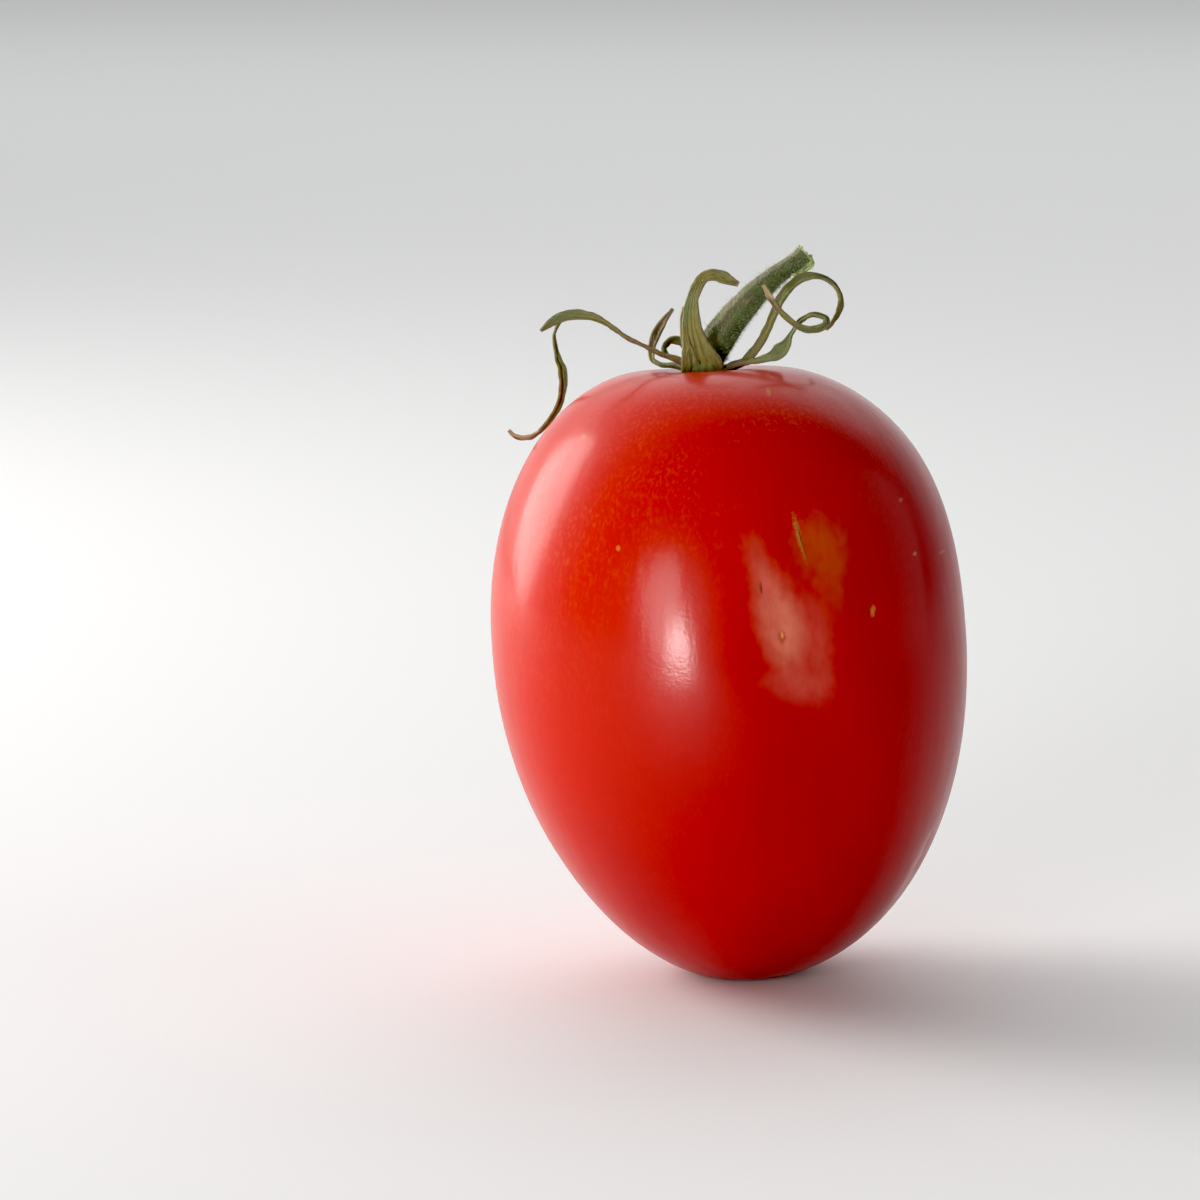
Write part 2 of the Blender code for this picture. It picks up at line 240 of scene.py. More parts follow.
def fruitPoint(direction):  # where the skin lies in that direction from the middle of the waist
    f = fruit
    above = direction.z > 0
    reach = f["aboveWaist"] if above else f["belowWaist"]
    power = f["shoulderPower"] if above else f["footPower"]
    latitude = asin(max(-1.0, min(1.0, direction.z)))
    ring = max(0.0, cos(latitude)) ** (2 / power)
    height = abs(sin(latitude)) ** (2 / power) * (reach if above else -reach)
    flat = hypot(direction.x, direction.y)
    across, back = (direction.x / flat, direction.y / flat) if flat > 1e-6 else (0.0, 0.0)
    turned = complex(across, back) * complex(cos(f["lobeTurn"]), -sin(f["lobeTurn"]))
    ring *= 1 + f["lobeDepth"] * (turned ** f["lobes"]).real * (0.5 + 0.5 * sin(latitude))
    x = f["halfWidth"] * ring * across - f["bow"] * (1 - (height / f["belowWaist"]) ** 2)
    y = f["halfDepth"] * ring * back
    if height < 0:
        drawn = (height / f["belowWaist"]) ** 4
        x, y = x - f["footLeft"] * drawn, y + f["footBack"] * drawn
    if height > 0:
        height -= f["crownTilt"] * x * (height / f["aboveWaist"]) ** 3
        height -= f["dipDepth"] * hump(hypot(x - f["crownAside"], y), f["dipRadius"])
    if y < 0:
        y += f["dentDepth"] * hump(hypot(x - f["dentSpot"][0], height - f["dentSpot"][1]), f["dentRadius"])
    return Vector((x, y, height))


def softFloor(height):  # presses what would sink below the floor flat on it, and leaves the rest
    k = fruit["floorSoftness"]
    return (height + hypot(height, k)) / 2 if height < 12 * k else height


# Marks that dent the skin, as place, radius and depth in mm
skinDents = [
    ((4.4, -19.6, 50.4), 1.5, 0.14), ((5.0, -20.2, 48.2), 1.6, 0.16), ((6.6, -19.7, 48.5), 2.2, 0.10),
    ((0.6, -21.9, 44.9), 0.8, 0.22), ((2.8, -22.2, 40.1), 0.7, 0.20), ((2.0, -22.0, 42.6), 2.0, 0.10),
    ((3.3, -22.3, 37.6), 1.5, 0.08), ((12.0, -18.5, 41.9), 0.6, 0.10),
    ((17.6, -7.1, 13.2), 1.4, 0.20), ((16.6, -6.4, 10.7), 1.3, 0.16), ((18.6, -7.7, 15.6), 1.2, 0.14),
]


def makeFruit(material):
    f = fruit
    bm = bmesh.new()
    bmesh.ops.create_uvsphere(bm, u_segments=f["segments"], v_segments=f["rings"], radius=1.0)
    for vertex in bm.verts:
        vertex.co = standing @ fruitPoint(vertex.co.normalized())
    bm.normal_update()
    outward = {vertex: vertex.normal.copy() for vertex in bm.verts}
    for vertex, normal in outward.items():
        place = vertex.co.copy()
        drawn = (place.x, place.y, place.z * f["unevennessSquash"])
        rise = f["unevenness"] * grainAt(drawn, f["unevennessSize"], f["unevennessSeed"])
        for spot, radius, depth in skinDents:
            away = (place - Vector(spot)).length
            if away < 3 * radius:
                rise -= depth * hump(away, radius)
        vertex.co += normal * rise
        vertex.co.z = softFloor(vertex.co.z)
    tree = BVHTree.FromBMesh(bm)
    return newPiece(bm, "fruitSkin", material, "fruit"), tree


# Skin marks and painted reflection patches: centre and half sizes in mm, lean in degrees, how ragged and soft
# the outline is, colour and strength
skinMarksAndReflections = [
    # The next six patches are painted reflection: the pale pink gleam of the window in the dent
    ((4.4, -21.6, 41.0), (4.4, 4.0, 7.6), 12, 0.5, 0.90, (0.46, 0.040, 0.030), 0.45),  # painted reflection: wide pale haze of the window in the dent
    ((0.6, -21.5, 46.4), (1.1, 3.0, 3.4), 14, 0.5, 0.90, (0.50, 0.095, 0.065), 0.60),  # painted reflection, arm to the upper left
    ((2.4, -22.1, 41.5), (1.8, 3.0, 4.2), 12, 0.5, 0.75, (0.55, 0.135, 0.090), 0.90),  # painted reflection, pale core
    ((3.6, -22.0, 40.2), (1.3, 3.0, 2.6), 0, 0.5, 0.85, (0.58, 0.165, 0.110), 0.65),
    ((6.2, -21.4, 38.8), (1.6, 3.0, 4.2), 8, 0.6, 0.90, (0.50, 0.085, 0.060), 0.54),  # painted reflection, fainter on its right
    ((4.3, -22.3, 35.2), (2.7, 3.0, 1.4), -14, 0.6, 0.85, (0.50, 0.085, 0.062), 0.66),  # painted reflection, pale arc below it
    ((6.4, -19.6, 48.9), (2.4, 3.0, 2.9), 10, 0.9, 0.90, (0.43, 0.090, 0.018), 0.64),  # brown stain
    ((7.9, -20.0, 45.6), (1.3, 3.0, 3.4), 5, 0.9, 0.90, (0.43, 0.075, 0.018), 0.50),
    ((4.5, -19.9, 49.6), (0.24, 2.5, 1.9), 15, 1.9, 0.70, (0.42, 0.175, 0.065), 0.85),  # scar down its left
    ((4.75, -19.9, 49.2), (0.09, 2.5, 1.5), 17, 2.2, 0.45, (0.12, 0.035, 0.012), 0.80),
    ((0.6, -21.9, 44.9), (0.14, 2.0, 0.60), 8, 0.8, 0.45, (0.20, 0.045, 0.022), 0.85),  # slit
    ((2.75, -22.2, 39.9), (0.34, 2.0, 0.60), 8, 0.9, 0.45, (0.36, 0.055, 0.025), 0.75),  # pit
    ((2.75, -22.2, 40.1), (0.14, 2.0, 0.32), 5, 0.6, 0.45, (0.62, 0.300, 0.090), 0.85),
    ((12.0, -18.5, 41.9), (0.22, 2.0, 0.50), -5, 1.4, 0.60, (0.50, 0.160, 0.030), 0.90),  # yellow flecks
    ((-13.6, -18.3, 48.3), (0.22, 2.0, 0.26), 5, 0.8, 0.45, (0.62, 0.170, 0.030), 0.75),
    ((19.6, -8.4, 46.3), (0.60, 1.2, 0.16), 0, 0.8, 0.45, (0.50, 0.200, 0.130), 0.50),
    ((16.5, -13.1, 46.9), (0.20, 0.8, 0.18), 0, 0.8, 0.45, (0.52, 0.220, 0.140), 0.75),
    ((15.1, -11.9, 52.2), (0.20, 0.8, 0.20), 0, 0.8, 0.45, (0.50, 0.160, 0.080), 0.50),
    ((1.7, -9.3, 62.9), (0.24, 0.9, 0.50), 10, 0.8, 0.45, (0.50, 0.170, 0.050), 0.60),
    ((-17.1, -9.0, 58.3), (0.18, 0.8, 0.24), 0, 0.8, 0.45, (0.60, 0.170, 0.050), 0.65),
    ((17.6, -7.1, 13.2), (0.50, 1.4, 3.0), -28, 0.9, 0.80, (0.46, 0.080, 0.060), 0.40),  # low crease
    ((0.0, 0.0, 0.0), (1.5, 1.5, 2.0), 0, 1.0, 0.35, (0.14, 0.055, 0.020), 0.95),  # blossom scar
    ((-11.0, 17.5, 46.0), (0.9, 2.4, 2.0), 30, 0.9, 0.80, (0.48, 0.110, 0.060), 0.55),  # scuffs on the back
    ((9.5, 19.5, 30.0), (0.7, 2.4, 1.8), -15, 0.9, 0.80, (0.46, 0.090, 0.050), 0.50),
    ((-19.5, 9.5, 24.0), (0.7, 1.2, 0.9), 0, 0.9, 0.80, (0.50, 0.130, 0.070), 0.50),
]
# Scales are cycles to the mm, heights and places mm
skinFinish = {
    "ripeRed": (0.400, 0.0035, 0.0028), "deepRed": (0.330, 0.0022, 0.0035), "cloudScale": 0.11,
    "litOrangeRed": (0.570, 0.020, 0.005), "litSideSlope": -0.45, "litSideFrom": -8.0, "litSideTo": -34.0,
    "shoulder": (0.38, 0.012, 0.008), "calyxSpot": (-4.6, 2.6, 63.8), "calyxReach": (9.0, 2.0),
    "speckle": (0.58, 0.070, 0.010), "speckleSlope": -0.7, "speckleFrom": 38.0, "speckleTo": 66.0,
    "fineScale": 1.7, "fineStrength": 0.45, "faintScale": 3.1, "faintStrength": 0.30,
    "mottleScale": 2.6, "mottleStrength": 0.55, "wanderScale": 0.8, "fineWanderScale": 3.2, "fineMark": 0.4,
    "roughness": 0.35, "roughnessSpread": 0.14, "dullness": 0.18,
    "peelScale": 2.6, "peelHeight": 0.010, "ridgeScale": 0.35, "ridgeHeight": 0.05, "speckleHeight": 0.006,
}


def makeSkinMaterial():
    s = skinFinish
    material, tree, shader = newMaterial("ripeSkin", s["ripeRed"], {
        "Coat Weight": 0.5, "Coat Roughness": 0.18, "Coat IOR": 1.4, "IOR": 1.25,
        "Subsurface Weight": 0.08, "Subsurface Radius": (1.0, 0.10, 0.05), "Subsurface Scale": 0.0012,
    })
    place = millimetres(tree)
    axes = addNode(tree, "SeparateXYZ", {"Vector": place}).outputs
    drawn = vectorCalc(tree, "MULTIPLY", place, (1.0, 1.0, 0.35))  # stretches patterns up the fruit
    clouds = grainValue(tree, drawn, s["cloudScale"], 3.0)
    colour = blendColour(tree, fade(tree, clouds, 0.35, 0.7, 0.0, 0.6), s["ripeRed"], s["deepRed"])
    # Painted light: the skin is painted a lighter orange-red toward the left and the top, the sides the
    # window light falls on
    litSide = calc(tree, "MULTIPLY_ADD", axes["Z"], s["litSideSlope"], axes["X"])
    litSide = fade(tree, litSide, s["litSideFrom"], s["litSideTo"], 0.0, 0.75)
    colour = blendColour(tree, litSide, colour, s["litOrangeRed"])
    fromCalyx = vectorCalc(tree, "LENGTH", vectorCalc(tree, "SUBTRACT", place, s["calyxSpot"]))
    nearCalyx = fade(tree, fromCalyx, *s["calyxReach"], 0.0, 0.6)
    colour = blendColour(tree, nearCalyx, colour, s["shoulder"])
    # Fine orange dots, thickest on the upper left and round the crown
    thick = calc(tree, "MULTIPLY_ADD", axes["X"], s["speckleSlope"], axes["Z"])
    thick = fade(tree, thick, s["speckleFrom"], s["speckleTo"], 0.10, 1.0)
    thick = calc(tree, "MULTIPLY", thick, fade(tree, grainValue(tree, place, 0.16), 0.3, 0.62, 0.25, 1.0))
    upright = vectorCalc(tree, "MULTIPLY", place, (1.0, 1.0, 0.5))
    fine = useGroup(tree, dotsGroup, Place=upright, Scale=s["fineScale"], Size=0.28, Share=0.6)
    faint = useGroup(tree, dotsGroup, Place=upright, Scale=s["faintScale"], Size=0.36, Share=0.6)
    mottle = fade(tree, grainValue(tree, upright, s["mottleScale"], 3.0), 0.45, 0.74)
    fine = calc(tree, "MULTIPLY", fine, s["fineStrength"])
    faint = calc(tree, "MULTIPLY", faint, s["faintStrength"])
    mottle = calc(tree, "MULTIPLY", mottle, s["mottleStrength"])
    speckle = calc(tree, "MAXIMUM", calc(tree, "MAXIMUM", fine, faint), mottle)
    speckle = calc(tree, "MULTIPLY", speckle, thick)
    colour = blendColour(tree, speckle, colour, s["speckle"])
    dull = speckle  # what is marked shines less
    wander = calc(tree, "SUBTRACT", grainValue(tree, place, s["wanderScale"], 4.0), 0.5)
    fineWander = calc(tree, "SUBTRACT", grainValue(tree, place, s["fineWanderScale"], 3.0), 0.5)
    uneven = calc(tree, "MULTIPLY_ADD", grainValue(tree, upright, 1.0, 5.0), 1.5, 0.25)
    # Each patch tints the skin; some are real marks, some are painted reflection
    for centre, reach, turn, ragged, soft, tint, strength in skinMarksAndReflections:
        edge = fineWander if min(reach) < s["fineMark"] else wander
        tintedPatch = useGroup(tree, patchGroup, Place=place, Wander=edge, Centre=centre, Reach=reach,
                        Turn=radians(turn), Ragged=ragged, Soft=soft)
        tintedPatch = calc(tree, "MULTIPLY", tintedPatch, calc(tree, "MULTIPLY", uneven, strength))
        colour = blendColour(tree, tintedPatch, colour, tint)
        dull = calc(tree, "MAXIMUM", dull, tintedPatch)
    plug(tree, shader.inputs["Base Color"], colour)
    rough = grainValue(tree, drawn, 0.5, 4.0)
    rough = calc(tree, "MULTIPLY_ADD", rough, s["roughnessSpread"], s["roughness"])
    plug(tree, shader.inputs["Roughness"], calc(tree, "MULTIPLY_ADD", dull, s["dullness"], rough))
    peel = calc(tree, "MULTIPLY", grainValue(tree, place, s["peelScale"], 1.5), s["peelHeight"])
    furrows = vectorCalc(tree, "MULTIPLY", place, (1, 1, 0.12))
    ridge = calc(tree, "MULTIPLY", grainValue(tree, furrows, s["ridgeScale"], 2.0), s["ridgeHeight"])
    height = calc(tree, "ADD", peel, ridge)
    sheen = addNode(tree, "Bump", {"Height": height, "Distance": mm, "Strength": 1.0})
    plug(tree, shader.inputs["Coat Normal"], sheen.outputs[0])
    height = calc(tree, "MULTIPLY_ADD", dull, -s["speckleHeight"], height)
    bump = addNode(tree, "Bump", {"Height": height, "Distance": mm, "Strength": 1.0})
    plug(tree, shader.inputs["Normal"], bump.outputs[0])
    return material


fruitSkin, skinTree = makeFruit(makeSkinMaterial())
print("fruit skin:", len(fruitSkin.data.polygons), "faces")


# The crown: calyx and stalk are laid out in a frame in the mouth of the fruit's dip

crownValues = {"place": (-4.618, 2.579, 63.843), "tilt": radians(-9.5)}
crown = Matrix.Translation(crownValues["place"]) @ Matrix.Rotation(crownValues["tilt"], 4, "X")
leafFinish = {
    "green": (0.190, 0.255, 0.105), "olive": (0.250, 0.230, 0.065), "brown": (0.195, 0.130, 0.070),
    "purple": (0.085, 0.036, 0.040), "tan": (0.50, 0.34, 0.20), "vein": (0.36, 0.33, 0.15),
    "fibres": 7.0, "fibreHeight": 0.06, "hairlines": 19.0, "crumpleScale": 2.2, "crumpleHeight": 0.05,
    "blotchScale": 0.55, "roughness": 0.55, "roughnessSpread": 0.3,
}


def leafAttribute(tree, name):
    return addNode(tree, "Attribute", attribute_name=name).outputs["Fac"]


def makeLeafMaterial():
    s = leafFinish
    material, tree, shader = newMaterial("driedLeaf", s["green"], {
        "Specular IOR Level": 0.35, "Sheen Weight": 0.12, "Sheen Roughness": 0.5, "Subsurface Weight": 0.0,
    })
    place = millimetres(tree)
    across, along, dry = (leafAttribute(tree, name) for name in ("across", "along", "dry"))
    blotch = grainValue(tree, place, s["blotchScale"], 4.0)
    lines = useGroup(tree, fibreGroup, Across=across, Along=along, Count=s["fibres"], Stretch=0.9)
    hairline = useGroup(tree, fibreGroup, Across=across, Along=along, Count=s["hairlines"], Stretch=1.6)
    dryness = calc(tree, "ADD", dry, calc(tree, "MULTIPLY_ADD", blotch, 0.9, -0.45))
    colour = blendColour(tree, fade(tree, dryness, 0.05, 0.40), s["green"], s["olive"])
    colour = blendColour(tree, fade(tree, dryness, 0.42, 0.66), colour, s["brown"])
    colour = blendColour(tree, fade(tree, dryness, 0.78, 1.0), colour, s["tan"])
    colour = blendColour(tree, calc(tree, "MULTIPLY", lines, 0.45), colour, s["vein"])
    colour = blendColour(tree, calc(tree, "MULTIPLY", hairline, 0.20), colour, s["brown"])
    # Margins dry to a dark purple
    margin = calc(tree, "ABSOLUTE", across)
    margin = calc(tree, "MULTIPLY_ADD", grainValue(tree, place, 1.4, 3.0), 0.35, margin)
    dark = calc(tree, "MULTIPLY", fade(tree, margin, 1.05, 1.2), fade(tree, dry, 0.85, 0.6))
    colour = blendColour(tree, calc(tree, "MULTIPLY", dark, 0.3), colour, s["purple"])
    plug(tree, shader.inputs["Base Color"], colour)
    rough = calc(tree, "MULTIPLY_ADD", blotch, s["roughnessSpread"], s["roughness"])
    plug(tree, shader.inputs["Roughness"], rough)
    height = calc(tree, "MULTIPLY", lines, s["fibreHeight"])
    height = calc(tree, "MULTIPLY_ADD", hairline, s["fibreHeight"] / 2, height)
    crumple = grainValue(tree, place, s["crumpleScale"], 3.0)
    height = calc(tree, "MULTIPLY_ADD", crumple, s["crumpleHeight"], height)
    bump = addNode(tree, "Bump", {"Height": height, "Distance": mm, "Strength": 1.0})
    plug(tree, shader.inputs["Normal"], bump.outputs[0])
    return material


driedLeaf = makeLeafMaterial()


def keepOff(place, clearance):  # moves a point out until it clears the skin
    found, normal, index, away = skinTree.find_nearest(place)
    depth = (place - found).dot(normal)
    return place + normal * (clearance - depth) if depth < clearance else place


def valueAlong(pairs, share):  # reads a row of (share of the length, value) pairs
    for (start, low), (end, high) in zip(pairs, pairs[1:]):
        if share <= end:
            return low + (high - low) * (share - start) / (end - start)
    return pairs[-1][1]


def bladeAxes(route, row):  # along a blade, across it, and out of its hollow side
    along = routeDirection(route, row)
    upright = along.cross(Vector((0, 1, 0))).normalized()
    turn = radians(route[row][4])
    across = upright * cos(turn) + upright.cross(along) * sin(turn)
    return along, across, across.cross(along)


def thicken(piece, thickness):
    wall = piece.modifiers.new("thickness", "SOLIDIFY")
    wall.thickness = thickness * mm
    wall.offset = 0.0


# What every sepal has unless its own values say otherwise: mm, degrees, and shares of the width
sepalCommon = {
    "columns": 12, "step": 0.2, "thickness": 0.26, "clearance": 0.20, "rooted": 0.06,
    "roll": [(0, 95), (1, 95)], "rib": 0.05, "ribs": 3, "wave": 0.10, "waveSize": 1.1,
    "crumple": 0.10, "crumpleSize": 0.8, "ragged": 0.10, "raggedSize": 0.7, "drySide": 0.0,
}


def makeSepal(name, sepal):
    s = {**sepalCommon, **sepal}
    route = smoothRoute(s["stations"], s["step"])
    last = len(route) - 1
    bm, layers = layeredMesh("across", "along", "dry")
    verts = bmesh.ops.create_grid(bm, x_segments=s["columns"], y_segments=last, size=1.0)["verts"]
    for vertex in verts:
        row, side = round((vertex.co.y + 1) / 2 * last), vertex.co.x
        share = row / last
        centre, width, length = Vector(route[row][:3]), route[row][3], row * s["step"]
        along, across, hollow = bladeAxes(route, row)
        half = radians(valueAlong(s["roll"], share)) / 2
        reach = width / (2 * sin(min(half, pi / 2)))
        ragged = 1 + s["ragged"] * grainAt((side * 3, length, 0), s["raggedSize"], s["seed"])
        offset = reach * sin(half * side) * ragged
        rise = reach * (cos(half * side) - cos(half))
        rise += s["rib"] * width * cos(pi * s["ribs"] * side) * (1 - side * side)
        curl = grainAt((side, length, 3), s["waveSize"], s["seed"])
        rise += s["wave"] * width * side * abs(side) * curl
        rise += s["crumple"] * grainAt((offset, length, side), s["crumpleSize"], s["seed"] + 5)
        place = crown @ (centre + across * offset + hollow * rise)
        vertex.co = keepOff(place, s["clearance"]) if share > s["rooted"] else place
        vertex[layers["across"]] = side
        vertex[layers["along"]] = length
        vertex[layers["dry"]] = valueAlong(s["dry"], share) + s["drySide"] * side
    piece = newPiece(bm, name, driedLeaf, "calyx")
    thicken(piece, s["thickness"])
    return piece


# Each sepal's stations: right, back, up and width in mm, and its turn from facing the front in degrees.
# roll and dry are rows of (share of the length, value): how far it rolls up, and 0 green to 1 brown
sepalFront = {
    "stations": [
        (-0.1, -1.5, -0.7, 4.5, 0), (-0.4, -2.5, 0.7, 3.9, 0), (-0.9, -3.2, 2.4, 2.7, 5),
        (-1.3, -3.7, 4.0, 2.0, 10), (-1.4, -4.0, 5.6, 1.6, 15), (-1.3, -4.3, 7.0, 1.25, 20),
        (-0.8, -4.6, 8.2, 1.05, 10), (-0.1, -4.8, 9.2, 0.95, -5), (0.9, -4.9, 9.45, 1.0, -10),
        (2.1, -4.9, 9.15, 1.1, 0), (3.5, -4.8, 8.5, 0.4, 0),
    ],
    "columns": 20, "ribs": 5, "rib": 0.035, "roll": [(0, 60), (0.4, 80), (0.7, 130), (1, 60)],
    "dry": [(0, 0.42), (0.15, 0.32), (0.3, 0.28), (0.5, 0.12), (0.72, 0.35), (0.92, 0.35), (1, 0.9)],
    "seed": 1.0,
}
sepalFrontEdge = {
    "stations": [
        (-1.1, -1.4, 0.0, 1.5, 20), (-1.7, -2.6, 1.7, 1.0, 30), (-2.1, -3.1, 3.2, 0.7, 35),
        (-2.3, -3.4, 4.7, 0.45, 40), (-2.2, -3.6, 6.2, 0.2, 45),
    ],
    "roll": [(0, 170), (1, 170)], "dry": [(0, 0.25), (0.5, 0.35), (0.8, 0.6), (1, 1.3)], "seed": 2.0,
}
sepalLeft = {
    "stations": [
        (-0.8, -0.4, -0.3, 1.6, 40), (-2.4, -1.0, 0.7, 1.1, 55), (-4.2, -1.6, 1.3, 0.75, 70),
        (-6.1, -2.2, 2.1, 0.65, 75), (-8.0, -2.7, 3.0, 0.6, 70), (-9.9, -3.2, 4.3, 0.6, 60),
        (-11.5, -3.6, 5.1, 0.85, 45), (-13.2, -3.9, 5.4, 1.0, 30), (-14.8, -4.2, 5.1, 0.95, 25),
        (-15.9, -4.4, 4.5, 0.75, 20), (-16.9, -4.6, 3.7, 0.25, 20),
    ],
    "roll": [(0, 90), (0.5, 110), (0.6, 150), (1, 80)], "drySide": 0.12,
    "dry": [(0, 0.45), (0.25, 0.62), (0.5, 0.60), (0.6, 0.25), (0.8, 0.02), (0.95, 0.2), (1, 0.7)],
    "seed": 3.0,
}
sepalLeftHanging = {
    "stations": [
        (-0.6, 0.6, -0.3, 1.5, 60), (-2.4, 2.4, 0.8, 1.0, 70), (-5.2, 4.1, 2.0, 0.7, 80),
        (-8.4, 5.3, 3.7, 0.55, 85), (-11.4, 6.0, 5.5, 0.5, 85), (-13.6, 6.4, 5.8, 0.45, 85),
        (-15.1, 6.5, 5.0, 0.4, 80), (-15.6, 6.4, 3.5, 0.4, 60), (-15.2, 6.3, 1.6, 0.75, 45),
        (-14.7, 6.2, 0.0, 1.0, 40), (-14.7, 6.2, -2.0, 1.0, 45), (-15.2, 6.3, -3.8, 0.9, 55),
        (-16.2, 6.4, -5.4, 0.8, 60), (-17.4, 6.5, -6.6, 0.7, 60), (-18.7, 6.5, -7.1, 0.6, 50),
        (-19.8, 6.4, -6.9, 0.45, 40), (-20.5, 6.3, -6.3, 0.25, 40),
    ],
    "roll": [(0, 90), (0.4, 100), (0.6, 130), (1, 60)], "drySide": -0.25,
    "dry": [(0, 0.4), (0.35, 0.3), (0.5, 0.0), (0.75, 0.0), (0.85, 0.35), (0.92, 0.8), (1, 1.1)], "seed": 4.0,
}
sepalLeftShort = {
    "stations": [
        (-0.9, 0.3, -0.5, 1.4, 80), (-2.9, 1.2, 0.2, 0.95, 80), (-4.5, 1.9, 0.4, 0.65, 70),
        (-5.4, 2.3, 1.1, 0.5, 50), (-5.4, 2.5, 2.5, 0.65, 40), (-4.9, 2.6, 3.9, 0.8, 35),
        (-4.2, 2.6, 5.1, 0.6, 35), (-3.2, 2.6, 6.4, 0.2, 30),
    ],
    "roll": [(0, 90), (0.4, 150), (0.8, 210), (1, 150)],
    "dry": [(0, 0.1), (0.35, 0.1), (0.5, 0.3), (0.62, 0.72), (0.8, 0.7), (1, 0.6)], "seed": 5.0,
}
sepalBack = {
    "stations": [
        (-0.4, 0.9, -0.4, 1.8, 80), (-0.8, 3.0, 0.4, 1.7, 80), (-1.0, 5.0, 1.0, 1.6, 80),
        (-1.5, 6.0, 2.1, 1.5, 75), (-2.3, 5.9, 3.0, 1.5, 70), (-3.2, 5.5, 3.1, 1.4, 70),
        (-3.9, 5.0, 2.5, 1.2, 70), (-3.8, 4.6, 1.7, 0.9, 75), (-3.2, 4.4, 1.4, 0.5, 80),
    ],
    "roll": [(0, 100), (1, 100)], "dry": [(0, 0.2), (0.5, -0.1), (0.9, 0.0), (1, 0.5)], "seed": 6.0,
}
sepalRightTall = {
    "stations": [
        (0.8, 0.3, -0.3, 1.6, 60), (2.6, -0.2, 0.2, 1.3, 60), (4.2, -0.6, 0.9, 1.2, 55),
        (5.4, -0.7, 2.2, 1.15, 55), (6.3, -0.6, 3.7, 1.1, 60), (7.0, -0.3, 5.3, 1.0, 60),
        (7.7, 0.1, 6.9, 1.0, 50), (8.7, 0.5, 8.4, 1.1, 45), (10.2, 1.0, 9.6, 1.1, 50),
        (11.9, 1.6, 9.9, 0.9, 60), (13.4, 2.3, 9.3, 0.85, 65), (14.4, 2.9, 8.1, 0.85, 65),
        (14.5, 3.3, 6.6, 0.85, 60), (13.9, 3.4, 5.3, 0.7, 55), (13.0, 3.3, 4.2, 0.3, 50),
    ],
    "roll": [(0, 100), (0.4, 170), (0.7, 120), (1, 90)],
    "dry": [(0, 0.6), (0.2, 0.5), (0.4, 0.25), (0.8, 0.22), (0.95, 0.5), (1, 0.9)], "seed": 7.0,
}
sepalRightLooped = {
    "stations": [
        (0.8, -0.5, -0.4, 1.6, 50), (2.5, -1.7, 0.2, 1.1, 55), (4.6, -2.7, 0.6, 0.85, 60),
        (6.3, -3.4, 1.0, 0.95, 45), (7.5, -3.9, 1.5, 1.5, 20), (8.3, -4.0, 2.3, 1.15, 30),
        (8.9, -3.8, 3.5, 0.55, 65), (9.8, -3.5, 4.8, 0.55, 65), (11.2, -3.3, 5.6, 0.6, 65),
        (12.6, -3.5, 5.2, 0.65, 60), (12.6, -3.9, 4.3, 0.65, 50), (11.5, -4.4, 3.8, 0.65, 45),
        (10.0, -4.9, 3.9, 0.6, 50), (8.7, -5.2, 4.7, 0.6, 55), (7.6, -5.4, 5.8, 0.6, 55),
        (6.6, -5.5, 7.1, 0.7, 50), (6.0, -5.4, 8.4, 0.3, 50),
    ],
    "roll": [(0, 100), (0.22, 70), (0.35, 150), (0.7, 200), (1, 90)],
    "dry": [(0, 0.7), (0.15, 0.62), (0.25, 0.05), (0.5, 0.2), (0.85, 0.3), (0.93, 0.85), (1, 1.1)],
    "seed": 8.0,
}
sepalPieces = []
for sepalName, sepalValues in {
    "sepalFront": sepalFront, "sepalFrontEdge": sepalFrontEdge, "sepalLeft": sepalLeft,
    "sepalLeftHanging": sepalLeftHanging, "sepalLeftShort": sepalLeftShort, "sepalBack": sepalBack,
    "sepalRightTall": sepalRightTall, "sepalRightLooped": sepalRightLooped,
}.items():
    sepalPieces.append(makeSepal(sepalName, sepalValues))
    print("sepal:", sepalName, len(sepalPieces[-1].data.polygons), "faces")

cup = {
    "radius": 2.0, "height": 1.6, "lumps": 0.10, "lumpSize": 1.1, "flutes": 5, "fluteDepth": 0.05,
    "segments": 64, "rings": 40, "dry": 0.2, "seed": 9.0,
}


def makeCup():
    bm, layers = layeredMesh("across", "along", "dry")
    bmesh.ops.create_uvsphere(bm, u_segments=cup["segments"], v_segments=cup["rings"], radius=1.0)
    for vertex in bm.verts:
        unit = vertex.co.normalized()
        swell = 1 + cup["lumps"] * grainAt(unit * cup["radius"], cup["lumpSize"], cup["seed"])
        wide = cup["radius"] * swell * (1 + cup["fluteDepth"] * cos(cup["flutes"] * unit.x * pi))
        vertex.co = crown @ Vector((unit.x * wide, unit.y * wide, unit.z * cup["height"] * swell))
        vertex[layers["along"]] = unit.z * cup["height"]
        vertex[layers["dry"]] = cup["dry"]
    return newPiece(bm, "calyxCup", driedLeaf, "calyx")


calyxCup = makeCup()
print("cup:", len(calyxCup.data.polygons), "faces")


# The stalk. Its stations are right, back, up and radius in mm

